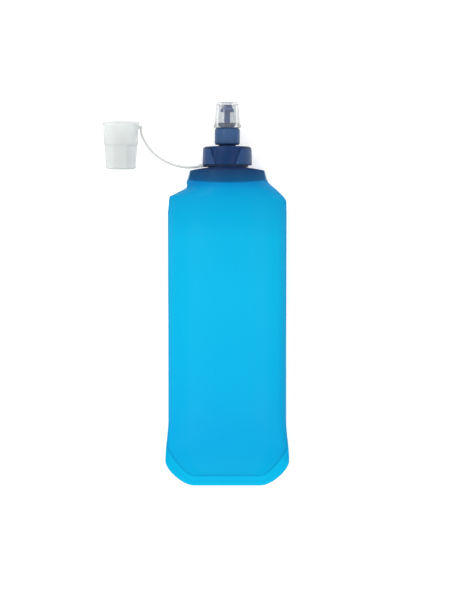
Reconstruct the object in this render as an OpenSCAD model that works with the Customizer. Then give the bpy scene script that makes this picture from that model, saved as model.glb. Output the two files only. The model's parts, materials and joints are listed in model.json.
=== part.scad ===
// Folding soft flask, lying on its back: a welded film bag with a screw cap, a push-pull
// bite valve and a clear dust cap on a strap. +Y runs to the mouthpiece, +Z is up from the
// surface that the flask lies on. The origin is on that surface, under the middle of the bag.

/* [Bag] */
// Width of the bag across its middle
bag_w = 78.6; // [76:0.2:81]
// Width of the flat weld band at the bottom of the bag
base_w = 82.8; // [82:0.2:86]
// Distance from the origin to the bottom edge of the bag
bag_low = 96.9; // [95:0.1:99]
// Height of the bag at its middle, part filled
bag_h = 21.5; // [18:0.5:26]
// Thickness of the film
film_t = 0.5; // [0.4:0.05:0.6]
// Depth of the weld band at the bottom edge
weld_band = 6.6; // [5:0.1:8]
// Where the bag folds over, measured from the origin
fold_y = -8; // [-20:1:-4]

/* [Neck] */
// Height of the neck's axis above the resting surface
axis_z = 16.8; // [16.8:0.1:18]
// Inside radius of the neck
neck_bore_r = 10.8; // [10:0.1:11]
// Outside radius of the neck, without its thread
neck_r = 12.6; // [12.4:0.1:12.7]
// Distance from the origin to the top of the neck
neck_top = 126.2; // [126:0.1:126.4]
// Distance from the origin to the middle of the collar's top face
collar_top = 115.7; // [115.4:0.1:115.7]
// Distance from the origin to the middle of the collar's lower face
collar_low = 105; // [104:0.1:106]
// Half length of the boat-shaped collar at its lower face
collar_half_len = 26.4; // [26:0.1:27]
// Half depth of the boat-shaped collar at its lower face
collar_half_depth = 15; // [14.6:0.1:15.1]

/* [Thread] */
// Rise of the thread in one turn
thread_pitch = 3; // [2.8:0.1:3.2]
// Number of turns of the thread
thread_turns = 1.5; // [1:0.25:1.5]

/* [Screw cap] */
// Outside radius of the cap at its lower edge
cap_r = 16.5; // [16.2:0.1:16.6]
// Distance from the origin to the cap's lower edge
cap_low = 117; // [117:0.1:117.3]
// Distance from the origin to the cap's top face
cap_top = 129.3; // [129.2:0.1:129.8]
// Number of V-shaped grip hollows round the cap
grip_count = 2; // [2:1:4]

/* [Valve] */
// Outside radius of the push-pull sleeve
sleeve_r = 8.4; // [8.2:0.1:8.6]
// Distance from the origin to the sleeve's lower edge
sleeve_low = 130.5; // [130.3:0.1:130.8]
// Distance from the origin to the sleeve's shoulder, under the mouthpiece
sleeve_top = 141.8; // [141.6:0.1:142]
// Distance from the origin to the tip of the mouthpiece
tip_y = 158.8; // [158.6:0.1:159.2]

/* [Dust cap and strap] */
// Outside radius of the dust cap at its mouth
dust_mouth_r = 12.4; // [12.2:0.1:12.6]
// Outside radius of the dust cap at its closed end
dust_end_r = 10.5; // [10.3:0.1:10.7]
// Length of the dust cap
dust_len = 31.8; // [31:0.1:32.5]
// Wall of the dust cap
dust_wall = 1.4; // [1.3:0.1:1.5]
// Number of flats round the dust cap's closed half
flat_count = 8; // [8:1:12]
// Diameter of the strap
strap_d = 1.5; // [1.3:0.1:1.6]

/* [Hidden] */
$fn = 96;

film_blue = [0.0, 0.62, 0.86, 0.6];
navy = [0.09, 0.19, 0.36];
slate_blue = [0.22, 0.32, 0.52];
clear = [0.9, 0.92, 0.92, 0.4];

gap = 0.15;                                    // film to collar
across = 12;                                   // film samples on each side of the middle

// The collar is a lens of two arcs: their radius and their centres' offset from the middle
collar_arc_r = (pow(collar_half_len, 2) + pow(collar_half_depth, 2)) / (2 * collar_half_depth);
collar_arc_offset = collar_arc_r - collar_half_depth;
collar_draft = 2;                              // how much the lens shrinks towards its top
film_top = 113.6;
shoulder_top = 102.7;                          // the shoulder runs out from the collar here
shoulder_low = 95;                             // and meets the bag's straight side here
corner_start = -81;                            // the bag's bottom corners start to turn in here
corner_flat = 23;                              // half width left straight at the bottom edge
corner_power = 1.5;
hollow_corner_start = -70;
hollow_corner_flat = 23;
hollow_corner_power = 1.15;
hollow_low = -bag_low + weld_band;
bag_full_y = -30;                              // the bag starts to thin out below this

// ---------- helpers ----------

function smooth(u) = u <= 0 ? 0 : u >= 1 ? 1 : u * u * (3 - 2 * u);
function clamp(u) = min(1, max(0, u));
function squircle(u, power) = pow(max(0, 1 - pow(clamp(u), power)), 1 / power);

// A solid through closed loops of points, which turn anticlockwise about the direction that
// the loops run in. Each loop is a band: its first half runs along one side of the band and
// its second half runs back along the other, so point i faces point n - 1 - i.
module skin(loops) {
    n = len(loops[0]);
    last = len(loops) - 1;
    sides = [
        for (j = [0:last - 1], i = [0:n - 1])
            let (a = j * n + i, b = j * n + (i + 1) % n)
                each [[a, a + n, b + n], [a, b + n, b]],
    ];
    start_cap = [for (i = [0:n / 2 - 2]) each [[i, i + 1, n - 2 - i], [i, n - 2 - i, n - 1 - i]]];
    end_cap = [for (f = start_cap) [for (i = [2:-1:0]) last * n + f[i]]];
    polyhedron(
        points = [for (loop = loops, p = loop) p],
        faces = concat(start_cap, sides, end_cap),
        convexity = 6
    );
}

// Puts a solid drawn along +Z onto the neck's axis, with its z counted as y from the origin
module on_axis() {
    translate([0, 0, axis_z]) rotate([-90, 0, 0]) children();
}

module ring(r_out, r_in, y0, y1) {
    difference() {
        translate([0, 0, y0]) cylinder(r = r_out, h = y1 - y0);
        translate([0, 0, y0 - 1]) cylinder(r = r_in, h = y1 - y0 + 2);
    }
}

// A helical ridge with a trapezoid section, from r_root to r_crest, faded out at both ends
module thread_ridge(r_root, r_crest, root_w, crest_w, y_start) {
    steps = ceil(thread_turns * 24);
    fade_steps = 5;
    outward = r_crest > r_root;
    skin([
        for (k = [0:steps])
            let (
                turn = 360 * thread_turns * k / steps,
                y = y_start + thread_pitch * thread_turns * k / steps,
                full = smooth(min(k, steps - k) / fade_steps),
                r = r_root + (r_crest - r_root) * (0.15 + 0.85 * full),
                section = [
                    [r_root, y - root_w / 2], [r, y - crest_w / 2],
                    [r, y + crest_w / 2], [r_root, y + root_w / 2],
                ],
                ordered = outward ? [for (i = [3:-1:0]) section[i]] : section
            )
                [for (p = ordered) [p[0] * cos(turn), p[0] * sin(turn), p[1]]],
    ]);
}

// ---------- film bag ----------

// Half width of the bag's outline at y
function collar_r(y) = collar_arc_r + gap
    - collar_draft * clamp((y - collar_low) / (collar_top - collar_low));
function collar_half(y) = sqrt(pow(collar_r(y), 2) - pow(collar_arc_offset, 2));
function body_half(y) = bag_w / 2 + 0.2 * smooth((y + 10) / 60)
    + (base_w - bag_w) / 2 * smooth((-52 - y) / 28);
function corner_half(y, start, low, flat, full, power) =
    flat + (full - flat) * squircle((start - y) / (start - low), power);
function outline_half(y) =
    y >= shoulder_top ? collar_half(y) + film_t :
    y >= shoulder_low ?
        let (u = (shoulder_top - y) / (shoulder_top - shoulder_low))
            (1 - u) * (collar_half(shoulder_top) + film_t) + u * body_half(shoulder_low) :
    y >= corner_start ? body_half(y) :
    corner_half(y, corner_start, -bag_low, corner_flat, base_w / 2, corner_power);

// Half width of the hollow between the two films at y
function hollow_half(y) = let (half = outline_half(y) - film_t)
    y >= hollow_corner_start ? half :
    min(half, corner_half(y, hollow_corner_start, hollow_low, hollow_corner_flat,
                          body_half(hollow_corner_start) - film_t, hollow_corner_power));

// How far towards the bottom weld y is: 0 in the full part of the bag, 1 at the weld
function thinning(y) = clamp((bag_full_y - y) / (bag_full_y - hollow_low));

// Height of the side seam, and the rise of the front film and drop of the back film from it
function seam_z(y) = film_t + 7.5 * (1 - pow(thinning(y), 1.8))
    + (axis_z - 8) * smooth((y - 40) / 62);
function rise(y) =
    y < fold_y ? (bag_h - 8 - film_t) * pow(1 - pow(thinning(y), 2.2), 0.75) :
    (bag_h - 8 - film_t)
        + (collar_half_depth + gap - (bag_h - 8 - film_t)) * smooth((y - fold_y) / 105)
        - collar_draft * clamp((y - collar_low) / (collar_top - collar_low));
function drop(y) = y < 80 ? seam_z(y) - film_t :
    let (in_collar = seam_z(y) - film_t - 0.35 * smooth((y - 80) / 22))
        y <= collar_low ? in_collar :
        collar_r(y) - collar_arc_offset;

// Share of the full rise at s, from -1 at one side of the hollow to 1 at the other
function lens_share(s, y) = let (r = collar_r(y))
    (sqrt(pow(r, 2) - pow(collar_half(y) * s, 2)) - collar_arc_offset) / (r - collar_arc_offset);
function pillow_share(s) = pow(max(0, 1 - pow(abs(s), 2.3)), 0.72);
flat_part = 0.7;                               // share of the bag's back that lies flat
function flat_share(s) = abs(s) <= flat_part ? 1 : 1 - pow((abs(s) - flat_part) / (1 - flat_part), 2);
function bag_weight(y) = smooth((102 - y) / 24);
function front_share(s, y) = let (k = bag_weight(y)) (1 - k) * lens_share(s, y) + k * pillow_share(s);
function back_share(s, y) = let (k = bag_weight(y)) (1 - k) * lens_share(s, y) + k * flat_share(s);

sample_s = [for (k = [-across:across]) sin(90 * k / across)];

// One loop round the section of the front film at y: over its outside, back along its inside
function front_loop(y) = let (w = outline_half(y), c = hollow_half(y), z = seam_z(y))
    concat(
        [[-w, y, z + film_t]],
        [for (s = sample_s) [c * s, y, z + film_t + rise(y) * front_share(s, y)]],
        [[w, y, z + film_t], [w, y, z]],
        [for (i = [2 * across:-1:0]) [c * sample_s[i], y, z + rise(y) * front_share(sample_s[i], y)]],
        [[-w, y, z]]
    );
// The same for the back film: under its outside, back along its inside
function back_loop(y) = let (w = outline_half(y), c = hollow_half(y), z = seam_z(y))
    concat(
        [[w, y, z - film_t]],
        [for (i = [2 * across:-1:0])
            [c * sample_s[i], y, z - film_t - drop(y) * back_share(sample_s[i], y)]],
        [[-w, y, z - film_t], [-w, y, z]],
        [for (s = sample_s) [c * s, y, z - drop(y) * back_share(s, y)]],
        [[w, y, z]]
    );

upper_stations = [fold_y, 15, 40, 60, 74, 84, 91, shoulder_low, 99, shoulder_top, collar_low, 109, film_top];
lower_stations = [
    -bag_low, -bag_low + 0.4, -bag_low + 1.3, -94.2, -92.4, hollow_low, -89.4, -88, -86, -83.6,
    corner_start, -78, -74, hollow_corner_start, -65, -56, -43, bag_full_y, fold_y,
];

module film(colour, loops) {
    color(colour) skin(loops);
}

module front_film_upper() film(film_blue, [for (y = upper_stations) front_loop(y)]);
module front_film_lower() film(film_blue, [for (y = lower_stations) front_loop(y)]);
module back_film_upper() film(film_blue, [for (y = upper_stations) back_loop(y)]);
module back_film_lower() film(film_blue, [for (y = lower_stations) back_loop(y)]);

// ---------- neck ----------

neck_thread_y = 119.9;
cap_thread_y = neck_thread_y - thread_pitch / 2;
thread_depth = 1;
thread_root_w = 1.5;
thread_crest_w = 0.7;
thread_sink = 0.4;                             // how far a ridge's root is sunk in its wall
crown_r = 137;                                 // radius of the collar's arched top face
belly_r = 180;                                 // radius of its sagging lower face

// The boat: a tapered lens, cut to the arched top face and the sagging lower face
module boat() {
    height = collar_top - collar_low;
    intersection() {
        translate([0, -collar_arc_offset, collar_low])
            cylinder(r1 = collar_arc_r, r2 = collar_arc_r - collar_draft, h = height, $fn = 240);
        translate([0, collar_arc_offset, collar_low])
            cylinder(r1 = collar_arc_r, r2 = collar_arc_r - collar_draft, h = height, $fn = 240);
        translate([0, 20, collar_top - crown_r]) rotate([90, 0, 0])
            cylinder(r = crown_r, h = 40, $fn = 300);
        translate([0, 20, collar_low + belly_r]) rotate([90, 0, 0])
            cylinder(r = belly_r, h = 40, $fn = 300);
    }
}

module neck_collar() {
    tube_low = collar_low + 4;
    color(navy) on_axis() difference() {
        union() {
            boat();
            translate([0, 0, tube_low]) cylinder(r = neck_r, h = neck_top - tube_low);
            thread_ridge(neck_r - thread_sink, neck_r + thread_depth,
                         thread_root_w, thread_crest_w, neck_thread_y);
        }
        translate([0, 0, collar_low - 5]) cylinder(r = neck_bore_r, h = neck_top);
    }
}

// ---------- screw cap ----------

cap_roof = 1.9;                                // thickness of the cap's roof
cap_bore_r = neck_r + thread_depth + 0.3;
cap_corner_r = 2;
cap_draft = 0.3;
grip_depth = 1;
grip_low_half = 6.5;                           // half width of a grip hollow, low and high
grip_high_half = 11;
grip_turn = -5;                                // where the cap's thread brings the hollows to rest
roof_y = cap_top - cap_roof;

nozzle_r = 5.85;
nozzle_bore_r = 4;
bead_r = 6.8;                                  // stop bead round the nozzle's end
bead_low = sleeve_low + 6.8;
bead_h = 2.8;
bead_top = bead_low + bead_h;
seal_r = 0.6;                                  // section radius of the O-ring
groove_w = 1.4;
seal_y = bead_low + bead_h / 2;

function arc(cx, cy, r, from, to, steps = 6) =
    [for (k = [0:steps]) let (a = from + (to - from) * k / steps) [cx + r * cos(a), cy + r * sin(a)]];

module grip_hollow() {
    difference() {
        rotate([90, 0, 0]) linear_extrude(height = 2 * cap_r) polygon([
            [-grip_low_half, cap_low - 0.5], [grip_low_half, cap_low - 0.5],
            [grip_high_half, cap_top + 0.5], [-grip_high_half, cap_top + 0.5],
        ]);
        translate([0, 0, cap_low - 2]) cylinder(r = cap_r - grip_depth, h = cap_top - cap_low + 4);
    }
}

module screw_cap() {
    top_r = cap_r - cap_draft;
    color(navy) on_axis() {
        difference() {
            union() {
                rotate_extrude() polygon(concat(
                    [[0, cap_low], [cap_r - 0.3, cap_low], [cap_r, cap_low + 0.3]],
                    arc(top_r - cap_corner_r, cap_top - cap_corner_r, cap_corner_r, 0, 90),
                    [[0, cap_top]]
                ));
                translate([0, 0, cap_top - 1]) cylinder(r = nozzle_r, h = bead_top - cap_top + 1);
                translate([0, 0, bead_low]) cylinder(r = bead_r, h = bead_h);
            }
            for (k = [0:grip_count - 1]) rotate([0, 0, 360 * k / grip_count + grip_turn]) grip_hollow();
            translate([0, 0, cap_low - 1]) cylinder(r = cap_bore_r, h = roof_y - cap_low + 1);
            translate([0, 0, cap_low - 1]) cylinder(r = nozzle_bore_r, h = bead_top - cap_low + 2);
            ring(bead_r + 1, bead_r - 2 * seal_r, seal_y - groove_w / 2, seal_y + groove_w / 2);
        }
        thread_ridge(cap_bore_r + thread_sink, cap_bore_r - thread_depth,
                     thread_root_w, thread_crest_w, cap_thread_y);
    }
}

module cap_gasket() {
    color("dimgray") on_axis() ring(cap_bore_r - 0.6, neck_bore_r + 0.4, neck_top + 0.1, roof_y - 0.05);
}

module nozzle_seal() {
    color("dimgray") on_axis() translate([0, 0, seal_y])
        rotate_extrude() translate([bead_r - seal_r + 0.02, 0]) circle(r = seal_r, $fn = 24);
}

// ---------- valve ----------

spigot_r = 5.85;
spigot_bore_r = 4.4;
spigot_top = sleeve_top + 3.1;
flange_r = sleeve_r + 0.8;                     // the mouthpiece's lower flange
flange_top = sleeve_top + 2.4;
mouth_low_r = 8.4;
mouth_tip_r = 7.6;
mouth_corner_r = 1;
mouth_bore_r = spigot_r + 0.05;
slit_l = 5.2;
slit_w = 0.6;
head_r = 4.55;
head_low = 152.2;
head_h = 2;
core_top = tip_y - 1.7;
stem_r = 2.05;
hub_low = bead_low - 1.2;
hub_top = bead_top - 0.5;
spokes = 3;

module valve_sleeve() {
    lip_top = bead_low - 4.5;                  // the bead stops the sleeve here, fully drawn
    bevel = 1.1;
    foot_r = 1.4;
    color(slate_blue) on_axis() difference() {
        union() {
            rotate_extrude() polygon(concat(
                [[0, sleeve_low]],
                arc(sleeve_r - foot_r, sleeve_low + foot_r, foot_r, -90, 0),
                [[sleeve_r, sleeve_top - 1.3], [sleeve_r - bevel, sleeve_top], [0, sleeve_top]]
            ));
            translate([0, 0, sleeve_top - 0.5]) cylinder(r = spigot_r, h = spigot_top - sleeve_top + 0.5);
        }
        translate([0, 0, sleeve_low - 1]) cylinder(r = nozzle_r + 0.08, h = 4);
        translate([0, 0, lip_top]) cylinder(r = bead_r + 0.1, h = bead_top + 0.3 - lip_top);
        translate([0, 0, sleeve_low - 1]) cylinder(r = spigot_bore_r, h = 20);
    }
}

module valve_core() {
    color(slate_blue) on_axis() {
        ring(nozzle_bore_r - 0.01, 3.1, hub_low, hub_top);
        for (k = [0:spokes - 1]) rotate([0, 0, 360 * k / spokes + 90])
            translate([stem_r - 0.5, -0.6, hub_low]) cube([1.9, 1.2, hub_top - hub_low]);
        translate([0, 0, hub_low]) cylinder(r = stem_r, h = head_low - hub_low + 0.5);
        rotate_extrude() polygon([
            [0, head_low], [head_r - 0.3, head_low], [head_r, head_low + 0.3],
            [head_r, head_low + head_h - 0.4], [head_r - 0.4, head_low + head_h],
            [3.5, head_low + head_h + 0.4], [3.2, core_top - 0.4], [2.8, core_top], [0, core_top],
        ]);
    }
}

module bite_valve() {
    roof_low = core_top + 0.2;
    color(clear) on_axis() difference() {
        rotate_extrude() polygon(concat(
            [[0, sleeve_top + 0.02], [flange_r - 0.4, sleeve_top + 0.02], [flange_r, sleeve_top + 0.4],
             [flange_r, flange_top - 0.5], [flange_r - 0.5, flange_top], [mouth_low_r + 0.3, flange_top],
             [mouth_low_r, flange_top + 0.3]],
            arc(mouth_tip_r - mouth_corner_r, tip_y - mouth_corner_r, mouth_corner_r, 0, 90),
            [[0, tip_y]]
        ));
        rotate_extrude() polygon([
            [0, sleeve_top - 1], [mouth_bore_r, sleeve_top - 1], [mouth_bore_r, spigot_top],
            [mouth_bore_r - 0.25, roof_low - 0.6], [mouth_bore_r - 0.85, roof_low], [0, roof_low],
        ]);
        translate([-slit_l / 2, -slit_w / 2, roof_low - 1]) cube([slit_l, slit_w, 5]);
    }
}

// ---------- strap and dust cap ----------

dust_x = 71.2;                                 // distance of the dust cap's axis from the neck's
dust_mouth_y = 146.3;
dust_corner_r = 2;

ring_low = collar_top + 0.1;
ring_top = cap_low - 0.1;
ring_r = 14;
ring_pin = [-17.9, 116.6];                      // where the strap turns on the ring's fork
ear_pin = [-57.6, 142.7];                      // where it turns on the dust cap's fork
pin_r = 0.42;
eye_r = 1.1;
eye_h = 1.5;
prong_t = 0.7;
prong_gap = 0.06;

strap_route = [
    [-18.9, 116.3], [-20.7, 115.9], [-22.8, 115.7], [-25, 115.6], [-27.5, 115.6], [-30, 115.9],
    [-32.6, 116.4], [-35.2, 117], [-37.8, 117.9], [-40.5, 119.1], [-43.2, 120.6], [-46.1, 122.5],
    [-48.9, 124.8], [-51.1, 127.1], [-53.1, 129.7], [-55, 132.6], [-56.5, 135.5], [-57.4, 138.3],
    [-57.75, 141.8],
];
strap_sag = 1.5;                               // the strap hangs below its plane by this much

// The dust cap lies on its rim and its closed end, so its axis drops towards the closed end.
// It swings over the mouthpiece in the strap's plane. The plane leans by half the dust cap's
// angle and passes through the neck's axis where the dust cap's mouth ends up, at stowed_y,
// so that the dust cap comes into line with the neck.
rim_h = 2;
rim_step = 0.3;                                // the rim's outside starts this far above its foot
lie = atan((dust_mouth_r - dust_end_r) / (dust_len - rim_h + rim_step - dust_corner_r));
// Height of the middle of its mouth
dust_rest_z = dust_mouth_r * cos(lie) + (rim_h - rim_step) * sin(lie) + 0.02;
ear_reach = norm(ear_pin - ring_pin);
ear_to_mouth = [-dust_x, dust_mouth_y] - ear_pin;
stowed_y = ring_pin[1] + sqrt(pow(ear_reach, 2) - pow(ear_to_mouth[0] - ring_pin[0], 2)) - ear_to_mouth[1];
plane_lean = lie / 2;
plane_tilt = asin((axis_z - dust_rest_z - (stowed_y - dust_mouth_y) * sin(plane_lean)) / dust_x);

module strap_plane() {
    translate([0, stowed_y, axis_z]) rotate([plane_lean, -plane_tilt, 0])
        translate([0, -stowed_y, 0]) children();
}

// Two prongs with a pin between them, at a point of the strap's plane, held from x = root
module fork(pin, root) {
    for (side = [-1, 1]) translate([0, 0, side > 0 ? eye_h / 2 + prong_gap : -eye_h / 2 - prong_gap - prong_t]) {
        translate([pin[0], pin[1], 0]) cylinder(r = eye_r, h = prong_t);
        translate([min(root, pin[0]), pin[1] - eye_r, 0]) cube([abs(root - pin[0]), 2 * eye_r, prong_t]);
    }
    translate([pin[0], pin[1], -eye_h / 2 - prong_gap - prong_t / 2])
        cylinder(r = pin_r, h = eye_h + 2 * prong_gap + prong_t);
}

module tether_ring() {
    arm_r = cap_r + 0.3;                       // the arm may stand taller outside the cap's edge
    color(clear) difference() {
        union() {
            on_axis() translate([0, 0, ring_low]) cylinder(r = ring_r, h = ring_top - ring_low);
            strap_plane() intersection() {
                fork(ring_pin, -13);
                union() {
                    translate([-20, ring_low, -5]) cube([8, ring_top - ring_low, 10]);
                    translate([-20, ring_low - 1, -5]) cube([20 - arm_r, 5, 10]);
                }
            }
        }
        on_axis() translate([0, 0, ring_low - 1]) cylinder(r = neck_r + 0.15, h = 5);
    }
}

module eye(pin) {
    difference() {
        translate([pin[0], pin[1], -eye_h / 2]) cylinder(r = eye_r, h = eye_h);
        translate([pin[0], pin[1], -eye_h]) cylinder(r = pin_r + 0.05, h = 2 * eye_h);
    }
}

module tether_strap() {
    last = len(strap_route) - 1;
    sides = 10;
    function heading(i) = let (a = strap_route[max(0, i - 1)], b = strap_route[min(last, i + 1)])
        (b - a) / norm(b - a);
    color(clear) strap_plane() {
        difference() {
            skin([for (i = [0:last])
                let (t = heading(i), c = strap_route[i], z = -strap_sag * sin(180 * i / last))
                    [for (k = [0:sides - 1]) let (a = 360 * (k + 0.5) / sides)
                        [c[0] - t[1] * strap_d / 2 * cos(a), c[1] + t[0] * strap_d / 2 * cos(a),
                         z + strap_d / 2 * sin(a)]]]);
            for (pin = [ring_pin, ear_pin])
                translate([pin[0], pin[1], -eye_h]) cylinder(r = pin_r + 0.05, h = 2 * eye_h);
        }
        eye(ring_pin);
        eye(ear_pin);
    }
}

// The dust cap, drawn along +Z with its closed end at 0
module dust_cup() {
    taper = atan((dust_mouth_r - dust_end_r) / dust_len);
    rim_out = 0.35;
    floor_fillet = 1.2;
    flat_h = 16.5;
    flat_depth = dust_end_r * (1 - cos(180 / flat_count)) - 0.05;
    difference() {
        rotate_extrude() polygon(concat(
            [[0, 0]],
            arc(dust_end_r - dust_corner_r, dust_corner_r, dust_corner_r, -90, 0),
            [[dust_mouth_r - rim_out, dust_len - rim_h], [dust_mouth_r, dust_len - rim_h + rim_step],
             [dust_mouth_r, dust_len - 0.3], [dust_mouth_r - 0.3, dust_len], [0, dust_len]]
        ));
        rotate_extrude() polygon([
            [0, dust_wall], [dust_end_r - dust_wall - floor_fillet, dust_wall],
            [dust_end_r - dust_wall, dust_wall + floor_fillet],
            [dust_mouth_r - rim_out - dust_wall, dust_len + 0.5], [0, dust_len + 0.5],
        ]);
        for (k = [0:flat_count - 1]) rotate([0, 0, 360 * k / flat_count])
            translate([dust_end_r - flat_depth, -5, 1.6]) rotate([0, taper, 0]) cube([4, 10, flat_h - 1.6]);
    }
}

module dust_cap() {
    color(clear) strap_plane() {
        translate([-dust_x, dust_mouth_y, 0]) rotate([lie / 2 - 90, 0, 0])
            translate([0, 0, -dust_len]) dust_cup();
        difference() {
            fork(ear_pin, -59.8);
            translate([-dust_x, dust_mouth_y - 10, 0]) rotate([lie / 2 - 90, 0, 0])
                cylinder(r = dust_mouth_r - dust_wall, h = 20);
        }
    }
}

// ---------- nodes ----------

front_film_upper();
front_film_lower();
back_film_upper();
back_film_lower();
neck_collar();
cap_gasket();
screw_cap();
nozzle_seal();
valve_sleeve();
valve_core();
bite_valve();
tether_ring();
tether_strap();
dust_cap();
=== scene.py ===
"""Folding soft flask lying on its back: welded film bag, screw cap, bite valve and dust cap."""
import json
import math

import bmesh
import bpy
import numpy as np
from mathutils import Matrix, Vector


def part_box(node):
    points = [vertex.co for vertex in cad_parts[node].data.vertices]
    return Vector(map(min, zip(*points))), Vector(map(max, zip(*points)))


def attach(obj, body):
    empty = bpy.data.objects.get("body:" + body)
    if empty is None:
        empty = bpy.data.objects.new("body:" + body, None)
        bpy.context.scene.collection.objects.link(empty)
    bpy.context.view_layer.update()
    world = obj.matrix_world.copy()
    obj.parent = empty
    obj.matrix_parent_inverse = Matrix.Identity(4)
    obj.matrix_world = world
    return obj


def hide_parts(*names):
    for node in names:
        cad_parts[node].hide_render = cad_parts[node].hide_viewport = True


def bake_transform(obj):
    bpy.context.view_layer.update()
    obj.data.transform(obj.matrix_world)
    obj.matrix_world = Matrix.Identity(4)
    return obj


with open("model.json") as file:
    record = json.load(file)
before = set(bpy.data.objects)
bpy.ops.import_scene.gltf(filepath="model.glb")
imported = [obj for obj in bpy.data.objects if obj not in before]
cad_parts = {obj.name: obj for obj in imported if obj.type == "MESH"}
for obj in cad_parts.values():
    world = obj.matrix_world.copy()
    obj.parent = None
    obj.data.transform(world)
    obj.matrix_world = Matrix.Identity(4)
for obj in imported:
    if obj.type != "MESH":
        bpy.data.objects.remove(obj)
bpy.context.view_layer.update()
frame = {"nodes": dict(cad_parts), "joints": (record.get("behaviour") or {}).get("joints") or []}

MM = 0.001
scene = bpy.context.scene

# ---------- places taken from the frame ----------

neck_low, neck_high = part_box("neck_collar")
AXIS_Z = (neck_low.z + neck_high.z) / 2          # height of the neck's axis
film_low, film_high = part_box("front_film_lower")
FOLD_Y = film_high.y                             # the bag folds over here
FILM_LOW = film_low.y                            # bottom edge of the bag
FILM_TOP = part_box("front_film_upper")[1].y       # edge of the film on the collar
BASE_HALF = film_high.x
BAG_H = film_high.z
CAP_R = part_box("screw_cap")[1].x

joints = {joint["name"]: joint for joint in frame["joints"]}
RING_PIN = Vector(joints["strap_swing"]["pos_m"])
EAR_PIN = Vector(joints["dust_cap_tilt"]["pos_m"])

# ---------- camera ----------

VIEW_HEIGHT = 400 * MM                           # height of the field at the object
CAMERA_DISTANCE = 2500 * MM
VIEW_X = -1.5 * MM                               # what the camera looks straight down at
VIEW_Y = 27.3 * MM
VIEW_Z = 12 * MM


def make_camera():
    data = bpy.data.cameras.new("camera")
    data.sensor_fit = "VERTICAL"
    data.sensor_height = 24
    data.lens = data.sensor_height * CAMERA_DISTANCE / VIEW_HEIGHT
    data.clip_end = 10
    camera = bpy.data.objects.new("camera", data)
    camera.location = (VIEW_X, VIEW_Y, VIEW_Z + CAMERA_DISTANCE)
    scene.collection.objects.link(camera)
    scene.camera = camera


make_camera()

# ---------- strap ----------

STRAP_D = 1.5 * MM
STRAP_SAG = 1.5 * MM
STRAP_ROUTE = [                                  # in mm, in the strap's plane
    (-18.9, 116.3), (-20.7, 115.9), (-22.8, 115.7), (-25, 115.6), (-27.5, 115.6), (-30, 115.9),
    (-32.6, 116.4), (-35.2, 117), (-37.8, 117.9), (-40.5, 119.1), (-43.2, 120.6), (-46.1, 122.5),
    (-48.9, 124.8), (-51.1, 127.1), (-53.1, 129.7), (-55, 132.6), (-56.5, 135.5), (-57.4, 138.3),
    (-57.75, 141.8),
]
EAR_PLACE = (-57.6, 142.7)                       # the dust cap's pin, in mm in the same plane
plane_normal = Vector(joints["strap_swing"]["axis"])
plane_lean = math.asin(-plane_normal.y)
plane_tilt = math.asin(-plane_normal.x / math.cos(plane_lean))
strap_turn = Matrix.Rotation(-plane_tilt, 4, "Y") @ Matrix.Rotation(plane_lean, 4, "X")
strap_plane = Matrix.Translation(EAR_PIN - strap_turn @ Vector((*EAR_PLACE, 0)) * MM) @ strap_turn

# ---------- material helpers ----------

class Nodes:
    """Short calls for building a material's node tree."""

    def __init__(self, name):
        self.material = bpy.data.materials.new(name)
        self.material.use_nodes = True
        self.tree = self.material.node_tree
        self.shader = self.tree.nodes["Principled BSDF"]

    def add(self, kind, **settings):
        node = self.tree.nodes.new(kind)
        for key, value in settings.items():
            setattr(node, key, value)
        return node

    def link(self, source, target):
        self.tree.links.new(source, target)

    def set(self, **values):
        for key, value in values.items():
            self.shader.inputs[key.replace("_", " ")].default_value = value

    def feed(self, **sources):
        for key, source in sources.items():
            self.link(source, self.shader.inputs[key.replace("_", " ")])

    def place(self):
        return self.add("ShaderNodeTexCoord").outputs["Object"]

    def coordinates(self):
        """The object's own x, y and z, as separate values."""
        split = self.add("ShaderNodeSeparateXYZ")
        self.link(self.place(), split.inputs["Vector"])
        return split.outputs

    def noise(self, scale, detail=3, stretch=None):
        texture = self.add("ShaderNodeTexNoise")
        texture.inputs["Scale"].default_value = scale
        texture.inputs["Detail"].default_value = detail
        place = self.place()
        if stretch:
            mapping = self.add("ShaderNodeMapping")
            mapping.inputs["Scale"].default_value = stretch
            self.link(place, mapping.inputs["Vector"])
            place = mapping.outputs["Vector"]
        self.link(place, texture.inputs["Vector"])
        return texture.outputs["Fac"]

    def ramp(self, value, *stops):
        ramp = self.add("ShaderNodeValToRGB")
        while len(ramp.color_ramp.elements) < len(stops):
            ramp.color_ramp.elements.new(0.5)
        for element, (position, colour) in zip(ramp.color_ramp.elements, stops):
            element.position = position
            element.color = (*colour, 1)
        self.link(value, ramp.inputs["Fac"])
        return ramp.outputs["Color"]

    def spread(self, value, low, high, to_low, to_high):
        node = self.add("ShaderNodeMapRange", clamp=True)
        for key, number in (("From Min", low), ("From Max", high), ("To Min", to_low), ("To Max", to_high)):
            node.inputs[key].default_value = number
        self.link(value, node.inputs["Value"])
        return node.outputs["Result"]

    def maths(self, operation, a, b=0):
        node = self.add("ShaderNodeMath", operation=operation)
        for socket, value in zip(node.inputs, (a, b)):
            if isinstance(value, (int, float)):
                socket.default_value = value
            else:
                self.link(value, socket)
        return node.outputs["Value"]

    def mix(self, factor, a, b):
        node = self.add("ShaderNodeMix", data_type="RGBA")
        for socket, value in ((node.inputs[0], factor), (node.inputs[6], a), (node.inputs[7], b)):
            if isinstance(value, (int, float)):
                socket.default_value = value
            elif isinstance(value, tuple):
                socket.default_value = (*value, 1)
            else:
                self.link(value, socket)
        return node.outputs[2]

    def attribute(self, name):
        return self.add("ShaderNodeAttribute", attribute_name=name).outputs["Fac"]

    def bump(self, height, strength, distance):
        node = self.add("ShaderNodeBump")
        node.inputs["Strength"].default_value = strength
        node.inputs["Distance"].default_value = distance
        self.link(height, node.inputs["Height"])
        self.link(node.outputs["Normal"], self.shader.inputs["Normal"])


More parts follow.
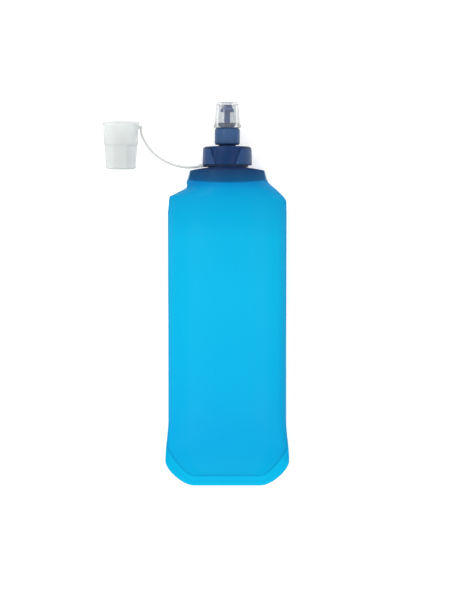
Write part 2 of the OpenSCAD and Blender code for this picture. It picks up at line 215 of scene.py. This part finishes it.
def moulded_plastic(name, colour, light, roughness):
    """Satin moulded plastic: fine texture, faint flow variation and uneven gloss."""
    nodes = Nodes(name)
    flow = nodes.noise(90, 3)
    gloss = nodes.noise(260, 4)
    nodes.feed(Base_Color=nodes.ramp(flow, (0.3, colour), (0.75, light)),
               Roughness=nodes.spread(gloss, 0.3, 0.7, roughness - 0.06, roughness + 0.06))
    nodes.bump(nodes.noise(2600, 2), 0.12, 0.1 * MM)
    nodes.set(Specular_IOR_Level=0.14)
    return nodes.material


def cap_plastic():
    """The cap's satin plastic, with painted shade: darker in the grip hollows than on the lobes."""
    nodes = Nodes("cap plastic")
    place = nodes.coordinates()
    across = nodes.maths("POWER", nodes.maths("ABSOLUTE", place["X"]), 2)
    height = nodes.maths("SUBTRACT", place["Z"], AXIS_Z)
    above = nodes.maths("POWER", nodes.maths("ABSOLUTE", height), 2)
    radius = nodes.maths("SQRT", nodes.maths("ADD", across, above))
    lobe = nodes.spread(radius, CAP_R - 0.9 * MM, CAP_R - 0.35 * MM, 0, 1)
    flow = nodes.ramp(nodes.noise(90, 3), (0.3, (0.013, 0.042, 0.120)), (0.75, (0.018, 0.050, 0.135)))
    # painted shade: the darker blue of the grip hollows
    hollow_shade = nodes.ramp(nodes.noise(120, 3), (0.3, (0.002, 0.019, 0.076)), (0.75, (0.003, 0.024, 0.088)))
    # painted shade: the hollows' side walls, between the lobes and the hollows' floor, are the darkest
    wall_shade = nodes.maths("MULTIPLY", nodes.spread(radius, CAP_R - 1.0 * MM, CAP_R - 0.85 * MM, 0, 1),
                       nodes.spread(radius, CAP_R - 0.45 * MM, CAP_R - 0.3 * MM, 1, 0))
    nodes.feed(Base_Color=nodes.mix(wall_shade, nodes.mix(lobe, hollow_shade, flow), (0.001, 0.006, 0.024)),
               Roughness=nodes.spread(nodes.noise(260, 4), 0.3, 0.7, 0.32, 0.44))
    nodes.bump(nodes.noise(2600, 2), 0.12, 0.1 * MM)
    nodes.set(Specular_IOR_Level=0.12)
    return nodes.material


def clear_material(name, colour, roughness, ior, milk, edge):
    """Clear moulded silicone or plastic, slightly milky and less clear at a glancing angle, where painted
    shade makes it darker.
    """
    nodes = Nodes(name)
    haze = nodes.noise(140, 3)
    tint = tuple(channel * 0.97 for channel in colour)
    weight = nodes.add("ShaderNodeLayerWeight")
    weight.inputs["Blend"].default_value = 0.5
    rim = nodes.spread(weight.outputs["Facing"], 0.5, 0.85, 0, 1)
    body = nodes.ramp(haze, (0.3, tint), (0.7, colour))
    # painted shade: the darker edge colour where the surface is seen at a glancing angle
    nodes.feed(Base_Color=nodes.mix(rim, body, edge),
               Transmission_Weight=nodes.spread(rim, 0, 1, 1 - milk, 0.75 * (1 - milk) - 0.15),
               Roughness=nodes.spread(nodes.noise(300, 2), 0.3, 0.7, roughness, roughness + 0.08))
    nodes.bump(nodes.noise(700, 2), 0.08, 0.1 * MM)
    nodes.set(IOR=ior, Specular_IOR_Level=0.12)
    return nodes.material


def ring_plastic():
    """The strap's natural plastic, with painted shade under the cap: dark blue there, for the cap's shadow
    and the navy neck seen through it.
    """
    nodes = Nodes("ring plastic")
    from_middle = nodes.maths("ABSOLUTE", nodes.coordinates()["X"])
    outside = nodes.spread(from_middle, CAP_R - 0.6 * MM, CAP_R + 0.2 * MM, 0, 1)
    # painted shade: the dark blue inside the cap's rim
    cloud = nodes.ramp(nodes.noise(200, 2), (0.3, (0.004, 0.016, 0.05)), (0.7, (0.008, 0.022, 0.06)))
    nodes.feed(Base_Color=nodes.mix(outside, cloud, (0.56, 0.57, 0.56)),
               Roughness=nodes.spread(nodes.noise(300, 2), 0.3, 0.7, 0.34, 0.44))
    nodes.set(Specular_IOR_Level=0.2)
    return nodes.material


# The film's blue from its bottom edge (0) to its top edge on the collar (1), with painted shade: darker
# where the bag thins to its base and up its shoulder, and darkest on the collar, for the navy collar behind
# the film as well as painted shade
FILM_BLUES_WITH_SHADE = (
    (0.03, (0.0, 0.328, 0.575)), (0.10, (0.0, 0.292, 0.550)), (0.18, (0.0, 0.288, 0.545)),
    (0.34, (0.0, 0.310, 0.548)), (0.59, (0.0, 0.330, 0.552)), (0.78, (0.0, 0.325, 0.540)),
    (0.907, (0.0, 0.252, 0.462)), (0.939, (0.0, 0.208, 0.425)), (0.961, (0.0, 0.132, 0.350)),
)


def film_material():
    """Translucent blue film: clearer where it is welded to the collar, paler in its weld bands, with
    painted shade along its sides, low down and up its shoulder.
    """
    nodes = Nodes("film")
    along = nodes.spread(nodes.coordinates()["Y"], FILM_LOW, FILM_TOP, 0, 1)
    # painted shade: the film's blue darkens low down and up the shoulder
    body = nodes.ramp(along, *FILM_BLUES_WITH_SHADE)
    cloud = nodes.spread(nodes.noise(22, 3, (1, 0.5, 1)), 0.35, 0.7, 0, 0.12)
    body = nodes.mix(cloud, body, (0.0, 0.285, 0.52))
    in_band = nodes.spread(nodes.attribute("band"), 0.0, 0.08, 0, 1)
    colour = nodes.mix(nodes.maths("MULTIPLY", in_band, 0.55), body, (0.0, 0.360, 0.575))
    # painted shade along the bag's sides
    colour = nodes.mix(nodes.maths("MULTIPLY", nodes.attribute("side"), 0.55), colour, (0.0, 0.20, 0.42))
    line = nodes.attribute("weld_line")
    colour = nodes.mix(nodes.maths("MULTIPLY", line, 0.5), colour, (0.0, 0.19, 0.40))
    nodes.feed(Base_Color=colour, Alpha=nodes.attribute("cover"),
               Roughness=nodes.spread(nodes.noise(60, 3), 0.3, 0.7, 0.34, 0.44))
    grain = nodes.maths("ADD", nodes.noise(1500, 2), nodes.maths("MULTIPLY", line, 6))
    nodes.bump(grain, 0.12, 0.15 * MM)
    nodes.set(Specular_IOR_Level=0.05, IOR=1.48)
    return nodes.material


NAVY = moulded_plastic("navy plastic", (0.001, 0.014, 0.062), (0.001, 0.018, 0.074), 0.5)
SLATE = moulded_plastic("slate plastic", (0.025, 0.064, 0.150), (0.031, 0.072, 0.165), 0.36)
CORE = moulded_plastic("core plastic", (0.045, 0.110, 0.32), (0.055, 0.125, 0.35), 0.36)
CAP = cap_plastic()
RING = ring_plastic()
SEAL = moulded_plastic("seal rubber", (0.02, 0.02, 0.022), (0.03, 0.03, 0.032), 0.55)
# the last colour of each clear material is its painted shade at a glancing angle
SILICONE = clear_material("clear silicone", (0.71, 0.73, 0.745), 0.05, 1.36, 0.05, (0.36, 0.36, 0.35))
# painted shade: darker copies of the clear materials for rounded edges
SILICONE_EDGE_SHADE = clear_material("clear silicone edge", (0.38, 0.39, 0.40), 0.05, 1.36, 0.15,
                               (0.22, 0.22, 0.22))
CLEAR = clear_material("clear plastic", (0.83, 0.85, 0.845), 0.14, 1.25, 0.30, (0.56, 0.59, 0.59))
CLEAR_EDGE_SHADE = clear_material("clear plastic edge", (0.60, 0.63, 0.63), 0.14, 1.25, 0.45,
                            (0.50, 0.53, 0.53))
STRAP = clear_material("strap plastic", (0.50, 0.51, 0.50), 0.30, 1.49, 0.90, (0.44, 0.45, 0.44))
FILM = film_material()

# ---------- mesh helpers ----------

def add_object(name, mesh, material):
    piece = bpy.data.objects.new(name, mesh)
    scene.collection.objects.link(piece)
    mesh.materials.append(material)
    return piece


def mesh_from(name, points, faces):
    mesh = bpy.data.meshes.new(name)
    mesh.from_pydata([tuple(p) for p in points], [], faces)
    mesh.validate()
    mesh.update()
    mesh.shade_smooth()
    return mesh


def softened(name, node, body, material, edge=0.15 * MM, angle=32, edge_shade_material=None):
    """A copy of a CAD node with its edges rounded and its round faces shaded smooth."""
    mesh = bpy.data.meshes.new(name)
    work = bmesh.new()
    work.from_mesh(frame["nodes"][node].data)
    bmesh.ops.remove_doubles(work, verts=work.verts, dist=1e-6)
    bmesh.ops.dissolve_limit(work, angle_limit=math.radians(0.6), verts=work.verts, edges=work.edges)
    work.to_mesh(mesh)
    work.free()
    mesh.shade_smooth()
    piece = add_object(name, mesh, material)
    bevel = piece.modifiers.new("bevel", "BEVEL")
    bevel.width = edge
    bevel.segments = 2
    bevel.limit_method = "ANGLE"
    bevel.angle_limit = math.radians(angle)
    bevel.harden_normals = True
    if edge_shade_material:                            # painted shade: the rounded edges of clear pieces get a darker material
        mesh.materials.append(edge_shade_material)
        bevel.material = 1
    finished = bpy.data.meshes.new_from_object(piece.evaluated_get(bpy.context.evaluated_depsgraph_get()))
    piece.modifiers.clear()
    piece.data = finished
    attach(piece, body)
    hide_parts(node)


# ---------- film bag ----------

BAG_W = 78.6 * MM
BASE_W = 2 * BASE_HALF
WAIST_Y = -10 * MM                               # the bag widens slowly up from here
WAIST_SPAN = 60 * MM
UPPER_WIDENING = 0.2 * MM                        # added to each side over that span
FLARE_Y = -52 * MM                               # and widens down from here to its base
FLARE_SPAN = 28 * MM
FILM_T = 0.5 * MM
WELD_BAND = 6.6 * MM
COLLAR_HALF_LEN = 26.4 * MM
COLLAR_HALF_DEPTH = 15 * MM
COLLAR_LOW = 105 * MM
COLLAR_TOP = 115.7 * MM
COLLAR_GAP = 0.15 * MM
COLLAR_DRAFT = 2 * MM
BELLY_R = 180 * MM
ARC_R = (COLLAR_HALF_LEN ** 2 + COLLAR_HALF_DEPTH ** 2) / (2 * COLLAR_HALF_DEPTH)
ARC_OFFSET = ARC_R - COLLAR_HALF_DEPTH
SHOULDER_TOP = 102.7 * MM
SHOULDER_LOW = 95 * MM
CORNER_START = -81 * MM
CORNER_FLAT = 23 * MM
CORNER_POWER = 1.5
HOLLOW_CORNER_START = -70 * MM
HOLLOW_CORNER_FLAT = 23 * MM
HOLLOW_CORNER_POWER = 1.3
HOLLOW_LOW = FILM_LOW + WELD_BAND
BAG_FULL_Y = -30 * MM                            # the bag thins down from here
FLAT_PART = 0.7                                  # share of the bag's back that lies flat
SEAM_Z = 7.5 * MM                                # height of the full bag's side seams over its back film
SEAM_LIFT_Y = 40 * MM                            # the seams rise from here to the neck's axis
SEAM_LIFT_SPAN = 62 * MM
FRONT_LIFT_SPAN = 105 * MM                       # the front film rises from the fold to the collar
BACK_LIFT_Y = 80 * MM                            # the back film leaves the ground above this
BACK_SLACK = 0.35 * MM
BACK_SLACK_SPAN = 22 * MM
LENS_Y = 102 * MM                                # the bag's section turns into the collar's lens
LENS_SPAN = 24 * MM
FOLD_REACH = 13 * MM                             # the stations lie closer together about this far either side of the fold

# How the film is marked for its colours
BAND_TOP = -58 * MM                              # top of the wide weld band round the base
LINE_TOP = -60 * MM                              # top of the line along that band's inside
LINE_HALF = 0.45 * MM
SIDE_SHADE_LEFT = 3 * MM                               # how far in the painted shade along the bag's sides reaches
SIDE_SHADE_RIGHT = 6 * MM
BODY_COVER = 0.985                               # how much the film hides what is behind it
COLLAR_COVER = 0.36                              # where it starts on the collar
COLLAR_CLEARING = 0.30                           # lost on its way up the collar


def clamp(u):
    return min(1.0, max(0.0, u))


def smooth(u):
    u = clamp(u)
    return u * u * (3 - 2 * u)


def squircle(u, power):
    return max(0.0, 1 - clamp(u) ** power) ** (1 / power)


def collar_r(y):
    return ARC_R + COLLAR_GAP - COLLAR_DRAFT * clamp((y - COLLAR_LOW) / (COLLAR_TOP - COLLAR_LOW))


def collar_half(y):
    return math.sqrt(collar_r(y) ** 2 - ARC_OFFSET ** 2)


def body_half(y):
    return (BAG_W / 2 + UPPER_WIDENING * smooth((y - WAIST_Y) / WAIST_SPAN)
            + (BASE_W - BAG_W) / 2 * smooth((FLARE_Y - y) / FLARE_SPAN))


def corner_half(y, start, low, flat, full, power):
    return flat + (full - flat) * squircle((start - y) / (start - low), power)


def outline_half(y):
    if y >= SHOULDER_TOP:
        return collar_half(y) + FILM_T
    if y >= SHOULDER_LOW:
        u = (SHOULDER_TOP - y) / (SHOULDER_TOP - SHOULDER_LOW)
        return (1 - u) * (collar_half(SHOULDER_TOP) + FILM_T) + u * body_half(SHOULDER_LOW)
    if y >= CORNER_START:
        return body_half(y)
    return corner_half(y, CORNER_START, FILM_LOW, CORNER_FLAT, BASE_W / 2, CORNER_POWER)


def hollow_half(y):
    half = outline_half(y) - FILM_T
    if y >= HOLLOW_CORNER_START:
        return half
    full = body_half(HOLLOW_CORNER_START) - FILM_T
    return min(half, corner_half(y, HOLLOW_CORNER_START, HOLLOW_LOW, HOLLOW_CORNER_FLAT, full,
                                 HOLLOW_CORNER_POWER))


def thinning(y):
    return clamp((BAG_FULL_Y - y) / (BAG_FULL_Y - HOLLOW_LOW))


def seam_z(y):
    return (FILM_T + SEAM_Z * (1 - thinning(y) ** 1.8)
            + (AXIS_Z - FILM_T - SEAM_Z) * smooth((y - SEAM_LIFT_Y) / SEAM_LIFT_SPAN))


def rise(y):
    full = BAG_H - SEAM_Z - 2 * FILM_T
    if y < FOLD_Y:
        return full * (1 - thinning(y) ** 2.2) ** 0.75
    return (full + (COLLAR_HALF_DEPTH + COLLAR_GAP - full) * smooth((y - FOLD_Y) / FRONT_LIFT_SPAN)
            - COLLAR_DRAFT * clamp((y - COLLAR_LOW) / (COLLAR_TOP - COLLAR_LOW)))


def drop(y):
    if y < BACK_LIFT_Y:
        return seam_z(y) - FILM_T
    if y <= COLLAR_LOW:
        return seam_z(y) - FILM_T - BACK_SLACK * smooth((y - BACK_LIFT_Y) / BACK_SLACK_SPAN)
    return collar_r(y) - ARC_OFFSET


def lens_share(s, y):
    r = collar_r(y)
    return (math.sqrt(r ** 2 - (collar_half(y) * s) ** 2) - ARC_OFFSET) / (r - ARC_OFFSET)


def front_share(s, y):
    k = smooth((LENS_Y - y) / LENS_SPAN)
    return (1 - k) * lens_share(s, y) + k * max(0.0, 1 - abs(s) ** 2.3) ** 0.72


def back_share(s, y):
    k = smooth((LENS_Y - y) / LENS_SPAN)
    flat = 1.0 if abs(s) <= FLAT_PART else 1 - ((abs(s) - FLAT_PART) / (1 - FLAT_PART)) ** 2
    return (1 - k) * lens_share(s, y) + k * flat


# The film's shoulders as (y, half width) in mm: the left side drops straight from the
# collar to a sharp ear, the right side curves out to it
LEFT_SHOULDER = ((105.6, 27.0), (103.2, 26.7), (102.3, 26.9), (101.5, 27.6), (98.7, 33.2), (96.2, 38.4),
                 (93.4, 38.8), (87.0, 39.3))
RIGHT_SHOULDER = ((105.6, 27.2), (104.2, 28.4), (102.7, 30.2), (101.4, 31.9), (98.7, 34.8), (96.0, 37.5),
                  (93.4, 39.3), (87.0, 39.5))


def side_half(y, shoulder):
    heights, halves = zip(*reversed(shoulder))
    if heights[0] * MM < y < heights[-1] * MM:
        return float(np.interp(y / MM, heights, halves)) * MM
    return outline_half(y)


def stations():
    """Heights along the bag, closer together where its outline turns."""
    base_top, shoulder_start, reach = -64 * MM, 84 * MM, FOLD_REACH + 1 * MM
    marks = [(FILM_LOW, CORNER_START, 44), (CORNER_START, base_top, 20), (base_top, FOLD_Y - reach, 24),
             (FOLD_Y - reach, FOLD_Y + reach, 28), (FOLD_Y + reach, shoulder_start, 30),
             (shoulder_start, SHOULDER_TOP, 36), (SHOULDER_TOP, FILM_TOP, 16)]
    values = []
    for low, high, count in marks:
        values += [low + (high - low) * k / count for k in range(count)]
    return values + [FILM_TOP]


def film_mesh():
    """Both films as one closed skin: a ring of points at each station, front and back."""
    across = 48                                  # steps from the middle to each side
    flange = 8                                   # steps across the weld at each side
    share = [math.sin(math.pi / 2 * k / across) for k in range(-across, across + 1)]
    rows = []
    for y in stations():
        w, c, z = outline_half(y), hollow_half(y), seam_z(y)
        up, down = rise(y), drop(y)
        left, right = side_half(y, LEFT_SHOULDER) - w, side_half(y, RIGHT_SHOULDER) - w
        c_left, c_right = c + left, c + right
        band = [k / flange * (w - c) for k in range(1, flange + 1)]
        spread = [(s, (c_left if s < 0 else c_right) * s) for s in share]
        row = [(-c_left - x, y, z + FILM_T) for x in reversed(band)]
        row += [(x, y, z + FILM_T + up * front_share(s, y)) for s, x in spread]
        row += [(c_right + x, y, z + FILM_T) for x in band]
        row += [(c_right + x, y, z - FILM_T) for x in reversed(band)]
        row += [(x, y, z - FILM_T - down * back_share(s, y)) for s, x in reversed(spread)]
        row += [(-c_left - x, y, z - FILM_T) for x in band]
        rows.append(row)
    # the film's edge on the collar, and a little of its inside, as insets and drops in mm
    edge = rows[-1]
    centre = Vector((0, 0, AXIS_Z))
    for inset, lower in ((0.25, 0.0), (0.5, 0.1), (0.5, 1.5)):
        row = []
        for x, y, z in edge:
            out = Vector((x, 0, z)) - centre
            inward = out * (1 - inset * MM / out.length) + centre
            row.append((inward.x, FILM_TOP - lower * MM, inward.z))
        rows.append(row)
    n = len(rows[0])
    points = [p for row in rows for p in row]
    faces = []
    for j in range(len(rows) - 1):
        for i in range(n):
            a, b = j * n + i, j * n + (i + 1) % n
            faces.append((a, b, b + n, a + n))
    half = n // 2
    faces += [(i, n - 1 - i, n - 2 - i, i + 1) for i in range(half - 1)]
    return mesh_from("flask_film", points, faces)


def distance_to(line, x, y):
    return np.sqrt(((x[:, None] - line[None, :, 0]) ** 2 + (y[:, None] - line[None, :, 1]) ** 2).min(1))


def edge_line(half):
    """Points along the bottom of an outline, from one side round to the other."""
    low = FILM_LOW if half is outline_half else HOLLOW_LOW
    heights = np.linspace(low, BAND_TOP + 2 * MM, 160)
    side = [(half(y), y) for y in heights]
    bottom = [(x, low) for x in np.linspace(-half(low), half(low), 120)]
    return np.array([(-x, y) for x, y in side] + bottom + side)


def film_attributes(mesh):
    """Marks the weld band, its lines, the painted shade along the sides, and how much the film hides."""
    place = np.array([v.co for v in mesh.vertices])
    x, y = place[:, 0], place[:, 1]
    inner = distance_to(edge_line(hollow_half), x, y)
    outer = distance_to(edge_line(outline_half), x, y)
    c = np.array([hollow_half(max(v, HOLLOW_LOW)) for v in y])
    outside = ((np.abs(x) > c + 1e-6) | (y < HOLLOW_LOW)) & (y < BAND_TOP)
    band = np.where(outside, inner / (inner + outer + 1e-9), 0)
    line = np.where(y < LINE_TOP, np.exp(-(inner / LINE_HALF) ** 2), 0)
    line += np.where(outside, 0.5 * np.exp(-((band - 0.55) / 0.06) ** 2), 0)
    # painted shade along the bag's sides, wider and stronger on the right
    w = np.array([outline_half(v) for v in y])
    reach = np.where(x < 0, SIDE_SHADE_LEFT, SIDE_SHADE_RIGHT)
    side = np.clip(1 - (w - np.abs(x)) / reach, 0, 1) * np.where(x < 0, 0.6, 1.0)
    side = np.where(y > CORNER_START, side, 0)
    belly = COLLAR_LOW + x ** 2 / (2 * BELLY_R)
    on_collar = np.clip((y - belly + 0.3 * MM) / (0.8 * MM), 0, 1)
    up_collar = np.clip((y - belly) / (FILM_TOP - COLLAR_LOW), 0, 1)
    cover = BODY_COVER - on_collar * (BODY_COVER - COLLAR_COVER + COLLAR_CLEARING * up_collar)
    for name, values in (("band", band), ("weld_line", line), ("side", side), ("cover", cover)):
        attribute = mesh.attributes.new(name, "FLOAT", "POINT")
        attribute.data.foreach_set("value", np.clip(values, 0, 1).astype(np.float32))


def make_film():
    mesh = film_mesh()
    film_attributes(mesh)
    film = add_object("flask_film", mesh, FILM)
    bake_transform(film)
    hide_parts("front_film_upper", "front_film_lower", "back_film_upper", "back_film_lower")


make_film()

# ---------- cap, valve, ring and dust cap ----------

softened("collar", "neck_collar", "bottle", NAVY)
softened("cap_shell", "screw_cap", "cap", CAP, 0.2 * MM)
softened("gasket", "cap_gasket", "gasket", SEAL)
softened("sleeve", "valve_sleeve", "mouthpiece", SLATE, 0.25 * MM)
softened("core", "valve_core", "cap", CORE)
softened("mouthpiece_silicone", "bite_valve", "mouthpiece", SILICONE, 0.22 * MM,
         edge_shade_material=SILICONE_EDGE_SHADE)
softened("ring_clip", "tether_ring", "ring", RING)
softened("dust_cover", "dust_cap", "cover", CLEAR, 0.3 * MM, 18, CLEAR_EDGE_SHADE)
frame["nodes"]["nozzle_seal"].data.materials[0] = SEAL


def make_strap():
    last = len(STRAP_ROUTE) - 1
    route = [
        strap_plane @ Vector((p * MM, y * MM, -STRAP_SAG * math.sin(math.pi * i / last)))
        for i, (p, y) in enumerate(STRAP_ROUTE)
    ]
    route = [RING_PIN] + route + [EAR_PIN]
    curve = bpy.data.curves.new("strap", "CURVE")
    curve.dimensions = "3D"
    curve.bevel_depth = STRAP_D / 2
    curve.bevel_resolution = 6
    curve.resolution_u = 6
    curve.use_fill_caps = True
    spline = curve.splines.new("BEZIER")
    spline.bezier_points.add(len(route) - 1)
    for point, place in zip(spline.bezier_points, route):
        point.co = place
        point.handle_left_type = point.handle_right_type = "AUTO"
    strap = bpy.data.objects.new("strap", curve)
    scene.collection.objects.link(strap)
    curve.materials.append(STRAP)
    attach(strap, "strap")
    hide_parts("tether_strap")


make_strap()

# ---------- stage ----------

FLOOR_HALF = 3
LIT_POINT = (0, 0.03, 0)                         # what every light is turned to


def make_floor():
    """A lit white table."""
    mesh = bpy.data.meshes.new("floor")
    corners = [(x * FLOOR_HALF, y * FLOOR_HALF, 0) for x, y in ((-1, -1), (1, -1), (1, 1), (-1, 1))]
    mesh.from_pydata(corners, [], [(0, 1, 2, 3)])
    nodes = Nodes("floor")
    nodes.set(Base_Color=(0.9, 0.9, 0.9, 1), Roughness=0.9, Emission_Color=(1, 1, 1, 1),
              Emission_Strength=0.22)
    add_object("floor", mesh, nodes.material)


def area_light(name, place, size, power):
    data = bpy.data.lights.new(name, "AREA")
    data.shape = "SQUARE"
    data.size = size
    data.energy = power
    light = bpy.data.objects.new(name, data)
    light.location = place
    direction = Vector(LIT_POINT) - Vector(place)
    light.rotation_euler = direction.to_track_quat("-Z", "Y").to_euler()
    scene.collection.objects.link(light)


def make_world():
    world = bpy.data.worlds.new("world")
    scene.world = world
    world.use_nodes = True
    background = world.node_tree.nodes["Background"]
    background.inputs["Color"].default_value = (1, 1, 1, 1)
    background.inputs["Strength"].default_value = 1.0
    scene.view_settings.view_transform = "Standard"


make_floor()
make_world()
area_light("key", (-1.1, 0.9, 1.5), 1.0, 14)
area_light("left fill", (-1.1, -0.9, 1.5), 1.2, 8)
area_light("right fill", (1.3, -0.5, 1.5), 1.2, 7)
area_light("top fill", (0.8, 1.2, 1.5), 1.2, 7)
